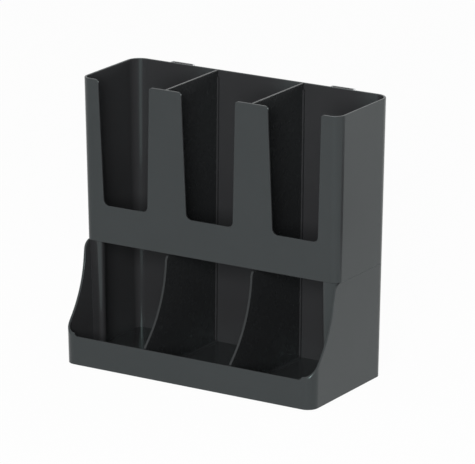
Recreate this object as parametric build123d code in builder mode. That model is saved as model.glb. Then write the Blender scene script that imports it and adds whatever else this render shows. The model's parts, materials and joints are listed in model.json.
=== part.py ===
from build123d import *
import os
from math import cos, radians, sin, sqrt, tan

# A two-tier organizer for cups, lids, stirrers and condiments.
# The upper bin has three tall compartments with a slot in front of each, and it nests on the
# lower bin, whose sides and dividers sweep forward in one curve to the lip of a tray.
# Origin: on the table, under the middle of the whole. +X is to the user's right, +Y is the back.

# The two bins, in millimetres; the widths and depths are at the rim
width = 325.0
upper_depth = 108.2
upper_height = 182.7
lower_height = 127.6
tray_reach = 44.6
lip_height = 32.3
wall = 2.5
floor_thickness = 3.0
draft_angle = 1.0
edge_chamfer = 0.5
seam_chamfer = 0.5
seam_chamfer_angle = 40.0
upper_front_radius = 12.0
back_radius = 15.8
lip_radius = 13.0

# The slots in the upper bin's front wall
centre_slot_width = 67.9
side_slot_width = 65.4
slot_height = 140.2
slot_lean_angle = 1.9
slot_bottom_radius = 6.5
post_radius = 4.0

# The sweep of the lower bin's sides, seen from the side
sweep_above_lip = 1.3
sweep_ahead = 4.1
sweep_end_angle = 45.0
sweep_top_radius = 11.0
lip_blend_radius = 5.0

# The jambs, which run from the lower bin's side walls forward to a rounded nose
jamb_width = 17.4
jamb_ahead = 1.5
jamb_slant = 6.5
jamb_return = 8.0
jamb_nose_radius = 4.0
jamb_root_radius = 3.0

# The dividers and the rib pairs that hold them
divider_thickness = 2.4
divider_rounding = 0.5
groove_gap = 0.25
divider_end_gap = 0.4
divider_set_back = 2.4
rib_width = 1.6
rib_reach = 3.0
rib_drop = 7.0
floor_rib_height = 2.0

# The rib under the upper bin that nests inside the lower bin's walls
nest_depth = 5.0
nest_rib = 2.0
nest_gap = 0.3
nest_start = 30.0
nest_break = 16.0

# The keyhole hangers: a folded steel strap on two staked pegs at each side of the back
hanger_inset = 60.9
hanger_width = 28.5
hanger_flange = 11.0
hanger_height = 42.0
hanger_sheet = 1.2
hanger_stand_off = 3.0
hanger_rise = 0.3
hanger_flange_drop = 5.0
keyhole_radius = 4.5
keyhole_slot_radius = 2.25
keyhole_slot_rise = 9.0
keyhole_drop = 27.0
peg_radius = 2.2
peg_gap = 0.15
peg_head_radius = 3.8
peg_head_height = 1.2
peg_head_taper = 22.5

# The feet
foot_radius = 7.0
foot_thickness = 2.0
foot_proud = 1.0
foot_gap = 0.2
foot_inset = 17.0

# One length by which cuts run past the faces that they open
overrun = 6.0

# Heights above the table
lean = tan(radians(draft_angle))
tray_z = foot_proud
seam_z = tray_z + lower_height
rim_z = seam_z + upper_height
lip_z = tray_z + lip_height
lower_floor_z = tray_z + floor_thickness
upper_floor_z = seam_z + floor_thickness

# Front and back at the rim, with the whole centred on the origin
overall_depth = tray_reach + upper_depth + hanger_stand_off + hanger_sheet
lip_front_y = -overall_depth / 2
upper_front_y = lip_front_y + tray_reach
upper_back_y = upper_front_y + upper_depth
divider_x = width / 6
hanger_x = width / 2 - hanger_inset


def side_x(z, inset=0):
    """Half the width at a height, less an inset from the outer face."""
    return width / 2 - lean * (rim_z - z) - inset


def front_y(z, inset=0):
    """The front face of the upper bin at a height, and its continuation below the seam."""
    return upper_front_y + lean * (rim_z - z) + inset


def back_y(z, inset=0):
    return upper_back_y - lean * (rim_z - z) - inset


def lip_y(z, inset=0):
    return lip_front_y + lean * (lip_z - z) + inset


def bin_plan(z, front, front_corner, inset=0):
    """The plan of a bin's walls at a height, from a front line to the back wall."""
    half_width = side_x(z, inset)
    back = back_y(z, inset)
    with BuildSketch(Plane.XY.offset(z), mode=Mode.PRIVATE) as plan:
        with Locations((0, (front + back) / 2)):
            Rectangle(2 * half_width, back - front)
        fillet(plan.vertices().group_by(Axis.Y)[0], front_corner - inset)
        fillet(plan.vertices().group_by(Axis.Y)[-1], back_radius - lean * (rim_z - z) - inset)
    return plan.sketch


def rib_pairs(z, y_from, y_to):
    """The plan of the pairs of ribs that hold the dividers at one wall."""
    offset_x = divider_thickness / 2 + groove_gap + rib_width / 2
    with BuildSketch(Plane.XY.offset(z), mode=Mode.PRIVATE) as plan:
        for x in (-divider_x, divider_x):
            for side in (-1, 1):
                with Locations((x + side * offset_x, (y_from + y_to) / 2)):
                    Rectangle(rib_width, y_to - y_from)
    return plan.sketch


def way_down(x_shift, y_shift):
    """The direction of a piece that goes down and shifts sideways with the leaning walls."""
    return Vector(x_shift * lean, y_shift * lean, -1)


def hanger_plan(z):
    """The strap's plan at a height: two flanges on the wall, and a bridge that stands off it."""
    y = back_y(z)
    inner = hanger_width / 2 - hanger_sheet
    outer = hanger_width / 2 + hanger_flange
    bridge_y = y + hanger_stand_off
    with BuildSketch(Plane.XY.offset(z), mode=Mode.PRIVATE) as plan:
        with BuildLine():
            Polyline(
                (-outer, y),
                (-inner, y),
                (-inner, bridge_y),
                (inner, bridge_y),
                (inner, y),
                (outer, y),
                (outer, y + hanger_sheet),
                (hanger_width / 2, y + hanger_sheet),
                (hanger_width / 2, bridge_y + hanger_sheet),
                (-hanger_width / 2, bridge_y + hanger_sheet),
                (-hanger_width / 2, y + hanger_sheet),
                (-outer, y + hanger_sheet),
                close=True,
            )
        make_face()
    return plan.sketch


# Upper bin
slot_widths = {-1: side_slot_width, 0: centre_slot_width, 1: side_slot_width}
side_compartment_x = (side_x(rim_z, wall) + divider_x) / 2
slot_floor_z = rim_z - slot_height
slot_lean = tan(radians(slot_lean_angle))
hanger_foot_z = rim_z + hanger_rise - hanger_height
peg_z = rim_z + (hanger_rise - hanger_height - hanger_flange_drop) / 2
keyhole_z = rim_z - keyhole_drop

with BuildPart() as upper_bin:
    extrude(
        bin_plan(rim_z, front_y(rim_z), upper_front_radius),
        amount=-(upper_height - seam_chamfer),
        taper=draft_angle,
    )
    chamfer_z = seam_z + seam_chamfer
    chamfer_corner = upper_front_radius - lean * (upper_height - seam_chamfer)
    extrude(
        bin_plan(chamfer_z, front_y(chamfer_z), chamfer_corner),
        amount=-seam_chamfer,
        taper=seam_chamfer_angle,
    )
    extrude(
        bin_plan(rim_z, front_y(rim_z, wall), upper_front_radius, wall),
        amount=-(upper_height - floor_thickness),
        taper=draft_angle,
        mode=Mode.SUBTRACT,
    )

    # A tapered slot from the rim down the front of each compartment, with rounded post tops
    with BuildSketch(Plane.XZ.offset(-upper_front_y + overrun)) as slots:
        for place, slot_width in slot_widths.items():
            half_top = slot_width / 2
            half_bottom = half_top - slot_lean * slot_height
            middle = place * side_compartment_x
            with BuildLine():
                Polyline(
                    (middle - half_top, rim_z),
                    (middle - half_bottom, slot_floor_z),
                    (middle + half_bottom, slot_floor_z),
                    (middle + half_top, rim_z),
                    close=True,
                )
            make_face()
        fillet(slots.vertices().group_by(Axis.Y)[0], slot_bottom_radius)
        with Locations((0, rim_z + overrun / 2)):
            Rectangle(width + 2 * overrun, overrun)
        rim_corners = slots.vertices().filter_by_position(Axis.Y, rim_z, rim_z)
        fillet(rim_corners.filter_by(lambda corner: abs(corner.X) < width / 2), post_radius)
    extrude(amount=-(2 * overrun + wall + lean * slot_height), mode=Mode.SUBTRACT)

    # Ribs that hold the dividers, on the front and the back wall
    rib_z = rim_z - rib_drop
    rib_depth = rib_z - upper_floor_z + floor_thickness / 2
    front_way = way_down(0, 1)
    back_way = way_down(0, -1)
    extrude(
        rib_pairs(rib_z, front_y(rib_z, wall / 2), front_y(rib_z, wall + rib_reach)),
        amount=rib_depth * front_way.length,
        dir=front_way,
    )
    extrude(
        rib_pairs(rib_z, back_y(rib_z, wall + rib_reach), back_y(rib_z, wall / 2)),
        amount=rib_depth * back_way.length,
        dir=back_way,
    )

    # The nesting rib under the floor, open at the front and broken where the dividers stand
    nest_inset = wall + nest_gap
    nest_corner = back_radius - lean * upper_height
    with BuildSketch(Plane.XY.offset(seam_z)) as nest:
        add(bin_plan(seam_z, front_y(seam_z), nest_corner, nest_inset))
        add(
            bin_plan(seam_z, front_y(seam_z), nest_corner, nest_inset + nest_rib),
            mode=Mode.SUBTRACT,
        )
        with Locations((0, front_y(seam_z))):
            Rectangle(width, 2 * nest_start, mode=Mode.SUBTRACT)
        with Locations((-divider_x, back_y(seam_z)), (divider_x, back_y(seam_z))):
            Rectangle(nest_break, 2 * nest_break, mode=Mode.SUBTRACT)
    extrude(amount=-nest_depth)

    # Narrow chamfers along the rim, which run on down the slots
    rim_edges = upper_bin.edges().filter_by_position(Axis.Z, rim_z, rim_z)
    chamfer(rim_edges.filter_by(lambda edge: edge.length > 2 * wall), edge_chamfer)

    # Staked pegs that carry the hangers: a shank through the flange and a flattened head
    peg_root_y = back_y(peg_z, wall / 2)
    peg_seat_y = back_y(peg_z) + hanger_sheet
    for middle in (-hanger_x, hanger_x):
        for side in (-1, 1):
            peg_x = middle + side * (hanger_width + hanger_flange) / 2
            with BuildSketch(Plane.XZ.offset(-peg_root_y)):
                with Locations((peg_x, peg_z)):
                    Circle(peg_radius)
            extrude(amount=-(peg_seat_y + peg_head_height / 2 - peg_root_y))
            with BuildSketch(Plane.XZ.offset(-peg_seat_y - lean * peg_head_radius)):
                with Locations((peg_x, peg_z)):
                    Circle(peg_head_radius)
            extrude(amount=-peg_head_height, taper=peg_head_taper)

os.makedirs("parts", exist_ok=True)
upper_bin.part.label = "upper_bin"
export_step(upper_bin.part, "parts/upper_bin.step")

# Lower bin
lower_front = lip_y(seam_z)
lower_corner = lip_radius + lean * (seam_z - lip_z)
jamb_foot_z = tray_z + floor_thickness / 2

# The sweep is an arc about a point level with the seam, and a straight flare on to the lip;
# its radius is the one that reaches from the top of the side to the lip's outer face
sweep_drop = seam_z - lip_z - sweep_above_lip
sweep_reach = front_y(seam_z) - sweep_ahead - lip_front_y
flare = radians(sweep_end_angle)
sweep_radius = (sweep_drop * tan(flare) - sweep_reach) / (1 / cos(flare) - 1)
sweep_centre_y = front_y(seam_z) - sweep_ahead - sweep_radius


def side_profile(set_back, bottom_z, top_z, front, back, top_radius):
    """The area behind the sweep, set back from it, between two heights and two depths."""
    radius = sweep_radius + set_back
    end_y = sweep_centre_y + radius * cos(flare)
    end_z = seam_z - radius * sin(flare)
    middle_y = sweep_centre_y + radius * cos(flare / 2)
    middle_z = seam_z - radius * sin(flare / 2)
    top_y = sweep_centre_y + sqrt(radius**2 - (seam_z - top_z) ** 2)
    front_top_z = end_z + (front[1] - end_y) / tan(flare)
    with BuildSketch(Plane.YZ, mode=Mode.PRIVATE) as profile:
        with BuildLine():
            Polyline(
                (top_y, top_z),
                (back[1], top_z),
                (back[0], bottom_z),
                (front[0], bottom_z),
                (front[1], front_top_z),
                (end_y, end_z),
            )
            ThreePointArc((end_y, end_z), (middle_y, middle_z), (top_y, top_z))
        make_face()
        fillet(profile.vertices().sort_by_distance((top_y, top_z, 0))[0], top_radius)
    return profile.sketch


def free_cut_edges(part):
    """The edges along the sweep and the lip's level top, less those inside the cut surface."""
    cut_edges = []
    for face in part.faces():
        centre = face.center()
        ahead = centre.Y < front_y(seam_z) + sweep_top_radius and centre.Z > lip_z - wall
        if ahead and face.normal_at(centre).Z > sin(radians(2 * draft_angle)):
            cut_edges.extend(face.edges())
    return ShapeList(edge for edge in cut_edges if cut_edges.count(edge) == 1)


def jamb_plan(z, side):
    """The plan of a jamb: a sheet from the side wall to an upright rounded nose, and a return."""
    root_x = side * side_x(z, wall / 2)
    wall_x = side * side_x(z, wall)
    nose_x = side * side_x(seam_z, wall + jamb_width)
    web_x = nose_x + side * wall
    nose_y = front_y(z) - jamb_ahead
    wall_y = nose_y + jamb_slant
    with BuildSketch(Plane.XY.offset(z), mode=Mode.PRIVATE) as plan:
        with BuildLine():
            Polyline(
                (root_x, wall_y),
                (wall_x, wall_y),
                (nose_x, nose_y),
                (nose_x, nose_y + jamb_return),
                (web_x, nose_y + jamb_return),
                (web_x, nose_y + wall),
                (wall_x, wall_y + wall),
                (root_x, wall_y + wall),
                close=True,
            )
        make_face()
        fillet(plan.vertices().sort_by_distance((nose_x, nose_y))[0], jamb_nose_radius)
        fillet(
            plan.vertices().sort_by_distance((web_x, nose_y + wall))[0],
            jamb_nose_radius - wall,
        )
        fillet(plan.vertices().sort_by_distance((wall_x, wall_y))[0], jamb_root_radius)
    return plan.sketch


with BuildPart() as lower_bin:
    extrude(
        bin_plan(seam_z, lower_front, lower_corner),
        amount=-lower_height,
        taper=draft_angle,
    )
    extrude(
        bin_plan(seam_z, lower_front + wall, lower_corner, wall),
        amount=-(lower_height - floor_thickness),
        taper=draft_angle,
        mode=Mode.SUBTRACT,
    )

    # Ribs that hold the dividers, on the back wall and along the floor
    rib_top_z = seam_z - nest_depth - nest_gap
    extrude(
        rib_pairs(rib_top_z, back_y(rib_top_z, wall + rib_reach), back_y(rib_top_z, wall / 2)),
        amount=(rib_top_z - lower_floor_z + floor_thickness / 2) * back_way.length,
        dir=back_way,
    )
    extrude(
        rib_pairs(
            lower_floor_z + floor_rib_height,
            lip_y(lower_floor_z, wall / 2),
            back_y(lower_floor_z, wall / 2),
        ),
        amount=-(floor_rib_height + floor_thickness / 2),
    )

    # The sides are cut to the sweep, and the lip to a level top
    sides = side_profile(
        0,
        tray_z,
        seam_z,
        (lip_front_y - overrun, lip_front_y - overrun),
        (upper_back_y, upper_back_y),
        sweep_top_radius,
    )
    extrude(sides, amount=width, both=True, mode=Mode.INTERSECT)
    lip_half_width = side_x(lip_z) - lip_radius
    with BuildSketch(Plane.XZ.offset(-lip_front_y + overrun)) as lip_cut:
        with Locations((0, lip_z + lip_radius)):
            Rectangle(2 * lip_half_width, 2 * lip_radius)
        fillet(lip_cut.vertices().group_by(Axis.Y)[0], lip_blend_radius)
    extrude(amount=-(overrun + wall + overrun), mode=Mode.SUBTRACT)

    # Narrow chamfers, first along the lip and then along the sweep of each side
    lip_edges = free_cut_edges(lower_bin.part).filter_by(
        lambda edge: abs(edge.center().X) < lip_half_width and edge.length > wall
    )
    chamfer(lip_edges, edge_chamfer)
    side_edges = free_cut_edges(lower_bin.part).filter_by(
        lambda edge: abs(edge.center().X) > lip_half_width and edge.length > 2 * wall
    )
    chamfer(side_edges, edge_chamfer)

    # Jambs, from the seam down into the floor
    for side in (-1, 1):
        loft([jamb_plan(seam_z, side), jamb_plan(jamb_foot_z, side)], ruled=True)

    # Shallow seats for the feet
    foot_x = side_x(tray_z) - foot_inset
    foot_places = [
        (x, y)
        for x in (-foot_x, foot_x)
        for y in (lip_y(tray_z) + foot_inset, back_y(tray_z) - foot_inset)
    ]
    with BuildSketch(Plane.XY.offset(tray_z)):
        with Locations(*foot_places):
            Circle(foot_radius + foot_gap)
    extrude(amount=foot_thickness - foot_proud, mode=Mode.SUBTRACT)

lower_bin.part.label = "lower_bin"
export_step(lower_bin.part, "parts/lower_bin.step")

# Upper dividers: a plain sheet each, from wall to wall and from the floor to the rim
for name, x in (("upper_divider_left", -divider_x), ("upper_divider_right", divider_x)):
    with BuildPart() as divider:
        with BuildSketch(Plane.YZ.offset(x - divider_thickness / 2)):
            with BuildLine():
                Polyline(
                    (front_y(upper_floor_z, wall + divider_end_gap), upper_floor_z),
                    (back_y(upper_floor_z, wall + divider_end_gap), upper_floor_z),
                    (back_y(rim_z, wall + divider_end_gap), rim_z),
                    (front_y(rim_z, wall + divider_end_gap), rim_z),
                    close=True,
                )
            make_face()
        extrude(amount=divider_thickness)
        fillet(divider.edges().filter_by(Axis.Y), divider_rounding)
    divider.part.label = name
    export_step(divider.part, f"parts/{name}.step")

# Lower dividers: the same sweep as the sides, a little behind it
divider_foot_z = lower_floor_z
divider_top_z = seam_z - divider_end_gap
for name, x in (("lower_divider_left", -divider_x), ("lower_divider_right", divider_x)):
    with BuildPart() as divider:
        profile = side_profile(
            divider_set_back,
            divider_foot_z,
            divider_top_z,
            (
                lip_y(divider_foot_z, wall + divider_end_gap),
                lip_y(lip_z, wall + divider_end_gap),
            ),
            (
                back_y(divider_foot_z, wall + divider_end_gap),
                back_y(divider_top_z, wall + divider_end_gap),
            ),
            sweep_top_radius - divider_set_back,
        )
        extrude(profile, amount=divider_thickness / 2, both=True)
    moved = Pos(x, 0, 0) * divider.part
    moved.label = name
    export_step(moved, f"parts/{name}.step")

# Hangers
for name, x in (("hanger_left", -hanger_x), ("hanger_right", hanger_x)):
    with BuildPart() as hanger:
        strap_way = way_down(0, -1)
        extrude(
            hanger_plan(rim_z + hanger_rise),
            amount=hanger_height * strap_way.length,
            dir=strap_way,
        )
        cut_plane = Plane.XZ.offset(-back_y(hanger_foot_z) + overrun)
        cut_depth = 2 * overrun + hanger_stand_off + hanger_sheet + lean * hanger_height
        with BuildSketch(cut_plane):
            with Locations((0, keyhole_z)):
                Circle(keyhole_radius)
            with Locations((0, keyhole_z + keyhole_slot_rise / 2)):
                Rectangle(2 * keyhole_slot_radius, keyhole_slot_rise)
            with Locations((0, keyhole_z + keyhole_slot_rise)):
                Circle(keyhole_slot_radius)
            for side in (-1, 1):
                with Locations((side * (hanger_width + hanger_flange) / 2, peg_z)):
                    Circle(peg_radius + peg_gap)
                with Locations((side * (hanger_width / 2 + hanger_flange), rim_z + hanger_rise)):
                    Rectangle(2 * hanger_flange, 2 * hanger_flange_drop)
        extrude(amount=-cut_depth, mode=Mode.SUBTRACT)
    moved = Pos(x, 0, 0) * hanger.part
    moved.label = name
    export_step(moved, f"parts/{name}.step")

# Feet
for number, (x, y) in enumerate(foot_places, start=1):
    with BuildPart() as foot:
        with BuildSketch():
            with Locations((x, y)):
                Circle(foot_radius)
        extrude(amount=foot_thickness)
        chamfer(foot.edges().group_by(Axis.Z)[0], foot_proud / 2)
    foot.part.label = f"foot_{number}"
    export_step(foot.part, f"parts/foot_{number}.step")
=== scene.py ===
# %% [markdown]
# A two-tier organizer for cups, lids and napkins stands on a white table in soft light. Its
# mouldings, dividers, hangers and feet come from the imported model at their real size. They could
# be modelled again here with Blender's tools, but two models of one thing soon disagree. So this
# file leaves the shapes alone: it gives them their finish, places the camera and lights them.

# %% The fixed frame
import json
from math import cos, pi, radians, sin

import bpy
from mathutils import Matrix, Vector

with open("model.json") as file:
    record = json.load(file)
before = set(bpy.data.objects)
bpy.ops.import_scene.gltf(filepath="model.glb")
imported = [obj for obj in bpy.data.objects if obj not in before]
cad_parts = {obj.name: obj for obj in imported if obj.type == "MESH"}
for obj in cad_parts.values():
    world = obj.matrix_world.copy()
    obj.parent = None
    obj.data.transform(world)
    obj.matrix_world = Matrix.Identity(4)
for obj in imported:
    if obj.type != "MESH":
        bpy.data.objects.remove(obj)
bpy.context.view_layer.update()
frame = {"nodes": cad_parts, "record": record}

mm = 0.001
scene = bpy.context.scene
print("nodes", sorted(frame["nodes"]))

# %% [markdown]
# The picture was taken from the right and a little above with a long lens, so the upright edges
# stay nearly parallel. A camera could be pushed about by hand until the view agrees. Here it
# stands on a sphere about the point it looks at instead, because a turn, a height angle and a
# distance are plain numbers that can be fitted to the object's edges. The lamps stand on such
# spheres too, so one helper places them all.

# %% Where a camera or a lamp stands
aim = Vector((-0.5, 27.0, 147.2)) * mm


def stand(name, data, turn, height_angle, distance):
    """Adds a camera or a lamp that looks at the aim; a turn of 0 is square in front."""
    way = Vector((sin(turn) * cos(height_angle), -cos(turn) * cos(height_angle), sin(height_angle)))
    thing = bpy.data.objects.new(name, data)
    thing.location = aim + way * distance
    thing.rotation_euler = way.to_track_quat("Z", "Y").to_euler()
    scene.collection.objects.link(thing)
    print(name, "stands at", [round(metres, 3) for metres in thing.location])
    return thing


# %% Camera
camera_turn = radians(31.976)
camera_height_angle = radians(16.347)
camera_distance = 4579.8 * mm
sensor_width = 36.0
picture_width = 475
focal_pixels = 4236.56

camera_data = bpy.data.cameras.new("camera")
camera_data.sensor_width = sensor_width
camera_data.lens = focal_pixels / picture_width * sensor_width
scene.camera = stand("camera", camera_data, camera_turn, camera_height_angle, camera_distance)
print("lens", round(camera_data.lens, 1), "mm")

# %% [markdown]
# A finish is a graph of nodes, and most of it is arithmetic on numbers that vary over the surface.
# Written as nodes and links that arithmetic is hard to read, so a small class wraps a socket and
# turns Python's operators into Math nodes.


# %% Shader arithmetic
class Wire:
    """One output socket of a graph, which Python's operators can work with."""

    def __init__(self, graph, socket):
        self.graph = graph
        self.socket = socket

    def math(self, operation, first, second):
        return self.graph.node("ShaderNodeMath", {"operation": operation}, {0: first, 1: second})

    def __add__(self, other):
        return self.math("ADD", self, other)

    def __radd__(self, other):
        return self.math("ADD", other, self)

    def __sub__(self, other):
        return self.math("SUBTRACT", self, other)

    def __rsub__(self, other):
        return self.math("SUBTRACT", other, self)

    def __mul__(self, other):
        return self.math("MULTIPLY", self, other)

    def __rmul__(self, other):
        return self.math("MULTIPLY", other, self)

    def __lt__(self, other):
        return self.math("LESS_THAN", self, other)


# %% [markdown]
# Whatever isn't a sum comes from one method, `node`, which sets a node's settings first and then
# the values or links of its sockets. The other methods are short names for nodes that come back
# often. The same class serves the materials and the world, since both are graphs of nodes.


# %% A graph of nodes
class Graph:
    """The nodes of a material or a world, and the shader that they feed."""

    def __init__(self, owner, shader):
        owner.use_nodes = True
        self.tree = owner.node_tree
        self.shader = self.tree.nodes[shader]

    def node(self, kind, settings=None, sockets=None, out=0):
        """Adds a node and returns the output socket that `out` numbers or names."""
        made = self.tree.nodes.new(kind)
        for name, value in (settings or {}).items():
            setattr(made, name, value)
        for name, value in (sockets or {}).items():
            self.feed(made.inputs[name], value)
        return Wire(self, made.outputs[out])

    def feed(self, socket, value):
        """Links a wire to a socket, or sets the socket to a number, a vector or a colour."""
        if isinstance(value, Wire):
            self.tree.links.new(value.socket, socket)
        elif socket.type == "RGBA":
            socket.default_value = (*value, 1)
        else:
            socket.default_value = value

    def shade(self, **sockets):
        """Feeds the shader's sockets, named here with underscores for spaces."""
        for name, value in sockets.items():
            self.feed(self.shader.inputs[name.replace("_", " ")], value)

    def colour_mix(self, share, first, second):
        """Mixes two colours by a share from 0 to 1."""
        colours = {0: share, 6: first, 7: second}
        return self.node("ShaderNodeMix", {"data_type": "RGBA"}, colours, out=2)

    def shader_mix(self, share, first, second=None):
        """Mixes two shaders by a share from 0 to 1; without a second one it fades to black."""
        shaders = {0: share, 1: first}
        if second is not None:
            shaders[2] = second
        return self.node("ShaderNodeMixShader", None, shaders)

    def place(self):
        """The point on the object in metres, which every pattern here is laid out by."""
        return self.node("ShaderNodeTexCoord", out="Object")

    def noise(self, place, size, detail=2.0, roughness=0.5):
        """Smooth noise about 0.5 whose blotches are about `size` across."""
        return self.node(
            "ShaderNodeTexNoise",
            None,
            {"Vector": place, "Scale": 1 / size, "Detail": detail, "Roughness": roughness},
        )

    def bump(self, height, depth, strength=1.0):
        """A normal that tilts as if the surface rose by `depth` where the height is 1."""
        return self.node(
            "ShaderNodeBump", None, {"Strength": strength, "Distance": depth, "Height": height}
        )

    def ray(self, kind):
        """Is 1 for light paths of this kind, such as the camera's own, and 0 for others."""
        return self.node("ShaderNodeLightPath", out=f"Is {kind} Ray")


# %% [markdown]
# Every finish starts the same way, with an empty material, and nearly every one lets noise vary
# its gloss. A noise of Blender's swings about 0.5, so adding it as it is would also make the whole
# surface duller. Taking its middle away first keeps the gloss that is written down as the average.

# %% A new finish
noise_middle = 0.5


def new_finish(name):
    """Makes an empty material and returns it with its graph."""
    material = bpy.data.materials.new(name)
    return material, Graph(material, "Principled BSDF")


def swing(noise, amount):
    """Moves a noise to swing about 0, by about `amount` between its ends."""
    return amount * (noise - noise_middle)


# %% [markdown]
# Hands and boxes rub the edges of a moulding paler and smoother. Such wear could be painted on by
# hand, or taken from a picture. Here Blender finds the edges: its Bevel node gives the normal of
# a surface whose edges are slightly rounded, and wherever that leans away from the true normal,
# there is an edge. It finds sharp inner corners as well, which does little harm on a black
# plastic. The flow marks break the wear up, so that it isn't an even outline.

# %% Rubbed edges
edge_radius = 1.0 * mm
edge_starts = 0.97
edge_full = 0.75
steady_share = 0.25


def rubbed_edges(finish, flow):
    """Is above 0 only near edges and inner corners, and highest on strong flow marks."""
    rounded = finish.node("ShaderNodeBevel", {"samples": 4}, {"Radius": edge_radius})
    true_normal = finish.node("ShaderNodeNewGeometry", out="Normal")
    normals = {0: rounded, 1: true_normal}
    agreement = finish.node(
        "ShaderNodeVectorMath", {"operation": "DOT_PRODUCT"}, normals, out="Value"
    )
    ends = {"From Min": edge_starts, "From Max": edge_full, "To Min": 0.0, "To Max": 1.0}
    edge = finish.node("ShaderNodeMapRange", {"clamp": True}, {"Value": agreement, **ends})
    return edge * (steady_share + (1 - steady_share) * flow)


# %% [markdown]
# The organizer is moulded in charcoal-black plastic with a fine satin grain. One grey and one
# roughness would give its tone, and pictures of plastic would add life but repeat and have to be
# unwrapped. Noise that is laid out in millimetres fits any shape, so it clouds the colour, draws
# flow marks in the gloss and makes the grain.
#
# Such plastic is nearly black itself. Outside, most of its grey is the white room mirrored in it,
# weakly where it is seen square on and strongly at a slant. Inside the bays the room isn't
# mirrored, and only the plastic's own dark grey is left. So the mirrored part is tinted a trace to
# cyan, as the outer faces are, and the plastic's own colour is nearly neutral, as the bays are.

# %% Satin black plastic
cloud_size = 60 * mm
flow_size = 9 * mm
grain_size = 0.5 * mm
flow_share = 0.3
worn_gain = 1.7
worn_share = 0.6
flow_gloss = 0.10
grain_gloss = 0.06
rubbed_gloss = 0.05


def satin_plastic(name, dark, pale, tint, roughness, grain_depth):
    """A moulded plastic between two colours, with the tint of what it mirrors."""
    material, finish = new_finish(name)
    place = finish.place()
    cloud = finish.noise(place, cloud_size, detail=3.0)
    flow = finish.noise(place, flow_size, detail=4.0, roughness=0.6)
    grain = finish.noise(place, grain_size)
    rubbed = rubbed_edges(finish, flow)
    worn = [worn_gain * channel for channel in pale]
    colour = finish.colour_mix(cloud, dark, pale)
    uneven = swing(flow, flow_gloss) + swing(grain, grain_gloss)
    finish.shade(
        Base_Color=finish.colour_mix(rubbed * worn_share, colour, worn),
        Roughness=roughness + uneven - rubbed_gloss * rubbed,
        Normal=finish.bump(grain + flow_share * flow, grain_depth),
        IOR=1.5,
        Specular_IOR_Level=0.31,
        Specular_Tint=tint,
    )
    print(name, "has", len(finish.tree.nodes), "nodes")
    return material


# %% [markdown]
# The thin dividers are given darker colours and a less cyan tint than the two bins. The darker
# colours are painted shade, for the weaker light on the divider faces, which turn sideways from
# the key lamp; they could share the bins' material and leave that to the lamps. So the same recipe
# is mixed twice, with numbers of its own for each.

# %% Plastic of the bins and of the dividers
body_plastic = satin_plastic(
    "body_plastic",
    dark=(0.0288, 0.0290, 0.0305),
    pale=(0.0338, 0.0340, 0.0358),
    tint=(0.74, 1.0, 0.98),
    roughness=0.24,
    grain_depth=0.012 * mm,
)
# Its darker colours are painted shade for the divider faces, which turn sideways from the key lamp.
divider_plastic = satin_plastic(
    "divider_plastic",
    dark=(0.0185, 0.0195, 0.0205),
    pale=(0.0220, 0.0230, 0.0240),
    tint=(0.92, 1.0, 1.0),
    roughness=0.26,
    grain_depth=0.010 * mm,
)

# %% [markdown]
# The hangers are small plates of zinc-plated steel on the back of the upper bin. Plating is a
# metal with a cloudy, slightly blue surface, and the steel under it has fine marks from rolling.
# The marks could be drawn as thin scratches one by one. A fine noise that is pulled out upwards
# looks the same from a hand's width away, and it takes one more node.

# %% Plated steel
steel_dull = (0.54, 0.55, 0.57)
steel_bright = (0.66, 0.67, 0.68)
plating_cloud_size = 6 * mm
plating_gloss = 0.12
rolling_pull = (1, 1, 0.04)
rolling_width = 0.25 * mm
rolling_depth = 0.01 * mm
rolling_gloss = 0.10


def plated_steel(name):
    """A cloudy grey metal with fine upright rolling marks."""
    material, finish = new_finish(name)
    place = finish.place()
    pulled_place = finish.node("ShaderNodeMapping", None, {"Vector": place, "Scale": rolling_pull})
    rolled = finish.noise(pulled_place, rolling_width, detail=3.0)
    cloud = finish.noise(place, plating_cloud_size, detail=4.0)
    finish.shade(
        Base_Color=finish.colour_mix(cloud, steel_dull, steel_bright),
        Metallic=1.0,
        Roughness=0.34 + swing(cloud, plating_gloss) + swing(rolled, rolling_gloss),
        Normal=finish.bump(rolled, rolling_depth, strength=0.6),
    )
    print(name, "has", len(finish.tree.nodes), "nodes")
    return material


hanger_steel = plated_steel("hanger_steel")

# %% [markdown]
# The feet are pads of soft black rubber under the tray. A plain dark grey would nearly do, but
# rubber is dull because of its fine pores, and a dusty bloom gathers on it in patches. So a fine
# noise makes the pores, which scatter the light, and a broader one makes the bloom.

# %% Foot rubber
rubber_clean = (0.012, 0.012, 0.012)
rubber_dusty = (0.035, 0.034, 0.033)
pore_size = 0.7 * mm
pore_depth = 0.05 * mm
pore_gloss = 0.2
bloom_size = 5 * mm


def dull_rubber(name):
    """A black rubber that scatters nearly all of the light that it returns."""
    material, finish = new_finish(name)
    place = finish.place()
    pores = finish.noise(place, pore_size, detail=4.0)
    bloom = finish.noise(place, bloom_size, detail=3.0)
    finish.shade(
        Base_Color=finish.colour_mix(bloom, rubber_clean, rubber_dusty),
        Roughness=0.75 + swing(pores, pore_gloss),
        Normal=finish.bump(pores, pore_depth, strength=0.8),
    )
    print(name, "has", len(finish.tree.nodes), "nodes")
    return material


foot_rubber = dull_rubber("foot_rubber")

# %% [markdown]
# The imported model's record says which finish each piece takes. The finishes could be given out by
# hand, piece by piece, but a loop over the record can't miss one, and it touches nothing but the
# material, so every piece keeps its shape.

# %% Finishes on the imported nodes
finishes = {
    "body_plastic": body_plastic,
    "divider_plastic": divider_plastic,
    "hanger_steel": hanger_steel,
    "foot_rubber": foot_rubber,
}
for subpart in frame["record"]["subparts"]:
    node = frame["nodes"][subpart["node"]]
    node.data.materials.clear()
    node.data.materials.append(finishes[subpart["material_slot"]])
    print(subpart["node"], "takes", subpart["material_slot"])

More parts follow.
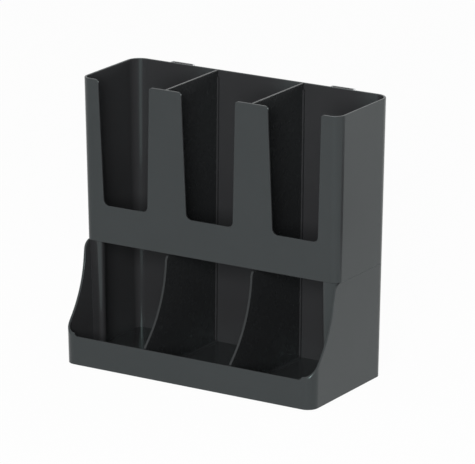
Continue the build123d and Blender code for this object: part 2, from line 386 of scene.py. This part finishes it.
# %% [markdown]
# The room is white all round. A bright world could do all the lighting, but it would light every
# face alike and fill the bays with grey. So the world is white only to the camera and in
# reflections, where a strength of 1 is white, and lights the object with a faint fill. The lamps
# below bring the rest up to the plain level at which a white thing looks white.

# %% White room
fill_level = 0.15

scene.view_settings.view_transform = "Standard"
scene.world = bpy.data.worlds.new("white_room")
room = Graph(scene.world, "Background")
room.shade(Color=(1, 1, 1), Strength=1 - (1 - fill_level) * room.ray("Diffuse"))
print("the room lights the object at", fill_level, "of plain white")

# %% [markdown]
# In a white room a glossy thing is white at every edge, and a dark card beside it gives an edge a
# line to be seen by. One lies on the table here, to the right of the object and a little behind
# it: the rounded front corner mirrors it between the white in front and behind, which draws the
# dark line down that corner. A real sheet of black card would also show in the picture, so this
# one is only a mask, which the table's material keeps for reflections.

# %% Dark card
card_turn = radians(27)
card_reach = 0.85
card_radius = 0.27


def dark_card(finish, place):
    """Is 1 on a disc of the table and 0 around it."""
    middle = (card_reach * cos(card_turn), card_reach * sin(card_turn), 0)
    away = finish.node(
        "ShaderNodeVectorMath", {"operation": "DISTANCE"}, {0: place, 1: middle}, out="Value"
    )
    return away < card_radius


# %% [markdown]
# The table is a broad white sheet. Lit like any other thing it would turn grey where the lamps
# are weak, and more light on it would bleach the object too. So most of its white is its own
# glow, which only the camera, reflections and glass see. The rest is left to the lamps, which
# keeps the object's soft shadow on the sheet. The glow's strength follows the kind of ray as
# well, so that Cycles doesn't take the whole sheet for a lamp.

# %% White table
table_side = 12.0
glow_share = 0.965
fibre_size = 3 * mm
paper_greys = (0.89, 0.89, 0.89), (0.91, 0.91, 0.91)


def table_finish(name):
    """White to the camera but for a trace of shadow; reflections see the dark card on it too."""
    material, finish = new_finish(name)
    place = finish.place()
    fibre = finish.noise(place, fibre_size)
    finish.shade(
        Base_Color=finish.colour_mix(fibre, *paper_greys), Roughness=0.9, Specular_IOR_Level=0.0
    )
    lit = Wire(finish, finish.shader.outputs[0])
    mirrored = finish.ray("Glossy")
    seen = 1 - (1 - finish.ray("Camera")) * (1 - mirrored) * (1 - finish.ray("Transmission"))
    glow = finish.node("ShaderNodeEmission", None, {"Color": (1, 1, 1), "Strength": seen})
    shown = finish.shader_mix(mirrored * dark_card(finish, place), glow)
    surface = finish.shader_mix(seen * glow_share, lit, shown)
    finish.feed(finish.tree.nodes["Material Output"].inputs["Surface"], surface)
    return material


def flat_sheet(name, side, material):
    """A square sheet on the floor, about the origin."""
    half = side / 2
    corners = [(-half, -half, 0), (half, -half, 0), (half, half, 0), (-half, half, 0)]
    mesh = bpy.data.meshes.new(name)
    mesh.from_pydata(corners, [], [(0, 1, 2, 3)])
    mesh.materials.append(material)
    sheet = bpy.data.objects.new(name, mesh)
    scene.collection.objects.link(sheet)
    return sheet


table = flat_sheet("table", table_side, table_finish("table_white"))
print("the table measures", table_side, "m each way")

# %% [markdown]
# Three softboxes light the object. The key stands low, a little to the right of the front, so that
# it reaches the back walls deep in the bays. One hangs overhead for the rims and the floor. A
# broad, dim one stands behind on the right, where the right side mirrors it. Their powers could
# be tried out in watts, but those say little at a distance. So each is set by a level instead: at
# level 1 it lights a white card that faces it to plain white. A lamp of power P lights such a card
# at distance d to P / (pi * d) ** 2, which gives the power.

# %% Lamps
lamp_distance = 3.5


def softbox(name, turn, height_angle, size, level):
    """A rectangular lamp of a width and a height in metres that looks at the aim."""
    lamp = bpy.data.lights.new(name, "AREA")
    lamp.shape = "RECTANGLE"
    lamp.size, lamp.size_y = size
    lamp.energy = level * (pi * lamp_distance) ** 2
    stand(name, lamp, radians(turn), radians(height_angle), lamp_distance)
    print(name, "gives", round(lamp.energy), "W")


softbox("key", turn=24, height_angle=17, size=(1.1, 1.3), level=0.86)
softbox("overhead", turn=0, height_angle=80, size=(2.0, 2.0), level=0.22)
softbox("right_back", turn=148, height_angle=8, size=(2.6, 1.1), level=0.36)
